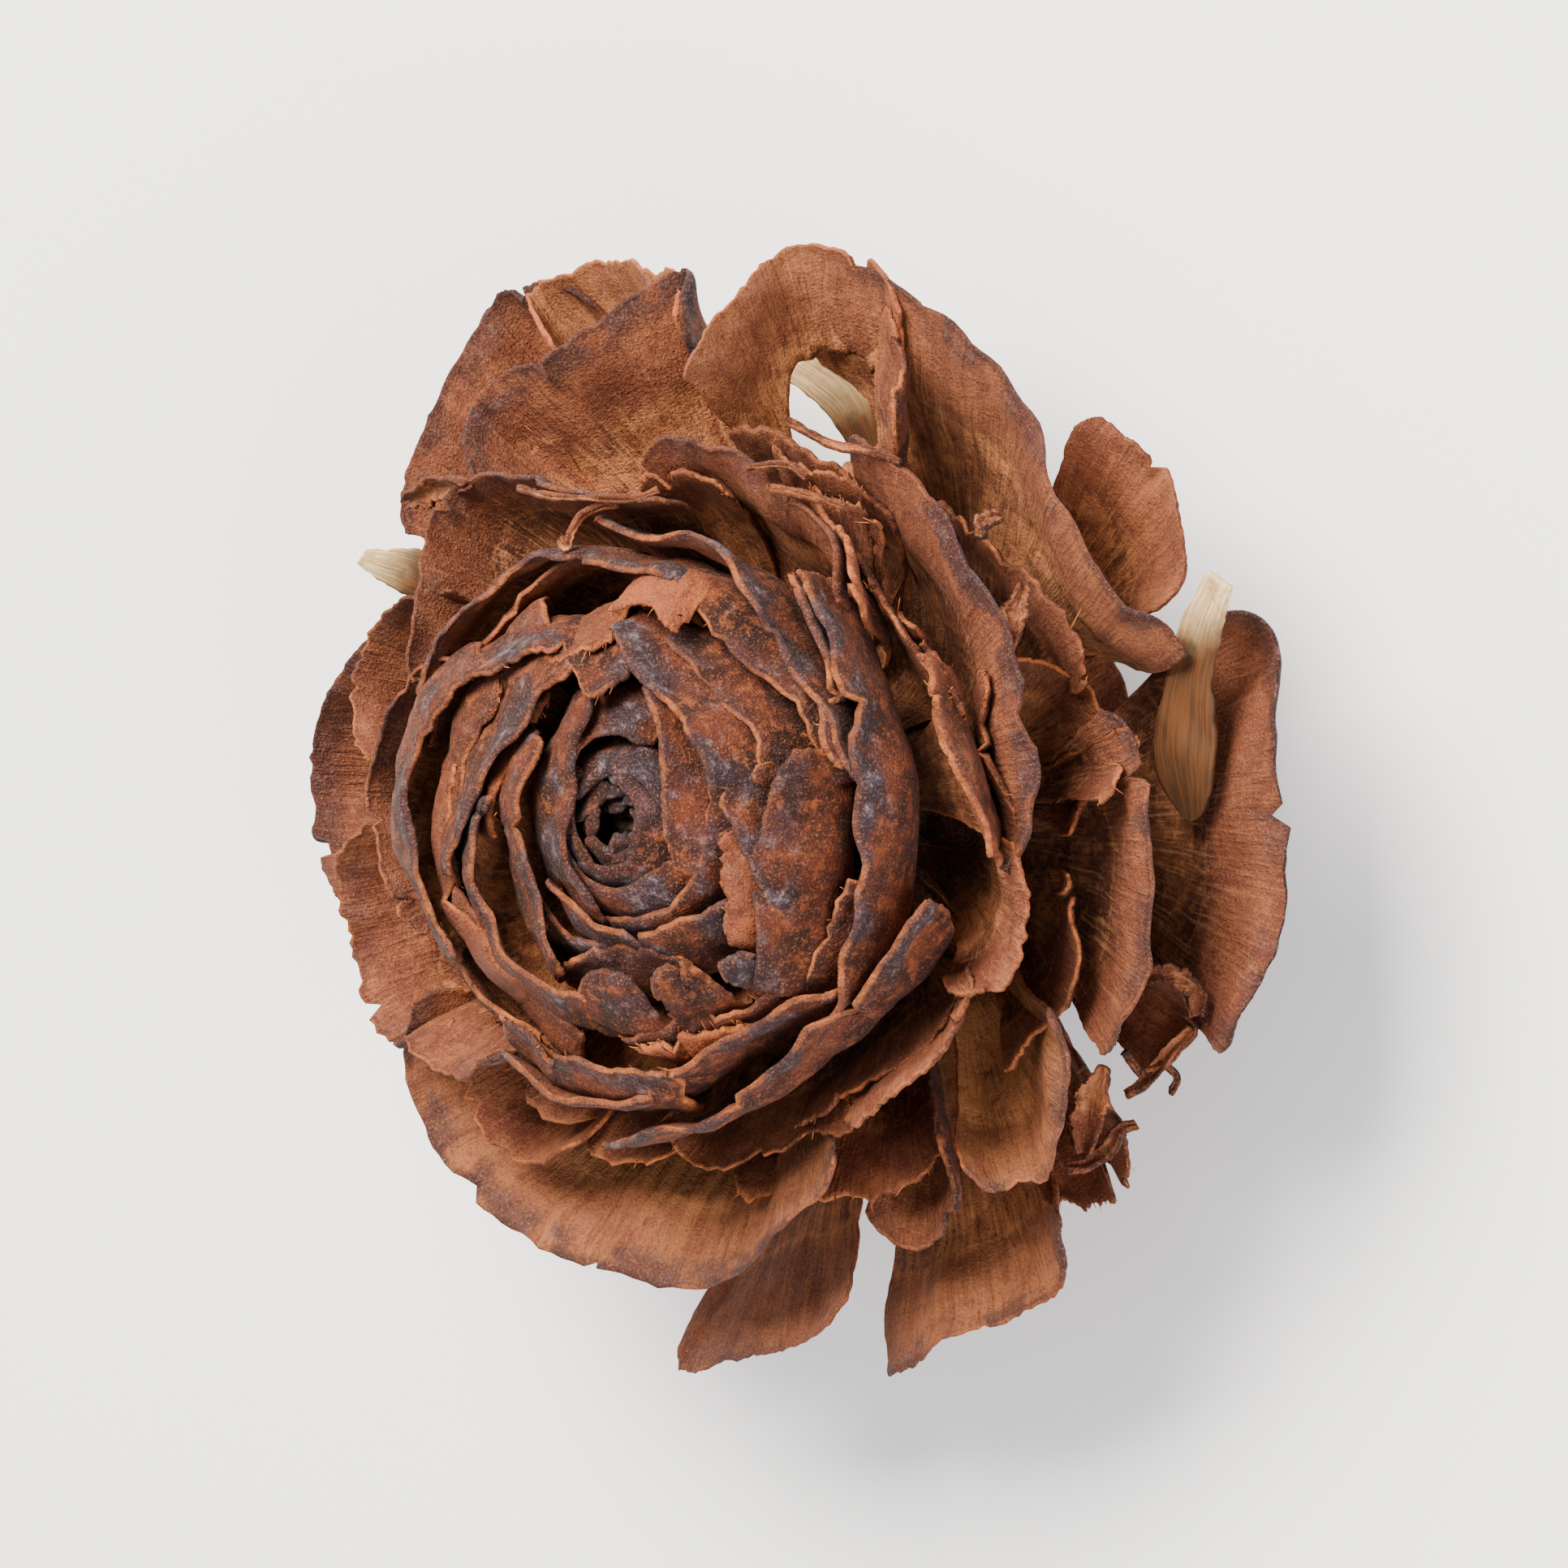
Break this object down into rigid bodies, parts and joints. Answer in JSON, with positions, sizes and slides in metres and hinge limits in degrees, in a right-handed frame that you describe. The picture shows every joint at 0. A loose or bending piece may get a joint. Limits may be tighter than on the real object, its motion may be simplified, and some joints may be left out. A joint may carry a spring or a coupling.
{
  "type": "cedar rose cone",
  "caption": "Dry cedar rose: the top of a cedar cone, with broad woody scales spread like petals round a closed bud and loose pale seed wings caught between them.",
  "frame": {"origin": "middle of the flat broken end of the stub under the cone", "axes": "+Z along the cone's axis, from the stub to the bud; +X towards the side that the picture was taken from"},
  "size_m": [0.0632, 0.0643, 0.0359],
  "materials": {
    "cedar_scale": "dry, velvety, reddish tan with dark purple-grey rims",
    "seed_wing": "thin, papery, cream"
  },
  "bodies": {
    "root": {"rose_cone": "cedar_scale", "seed_wing_right": "seed_wing", "seed_wing_top": "seed_wing", "seed_wing_left": "seed_wing"}
  },
  "joints": []
}
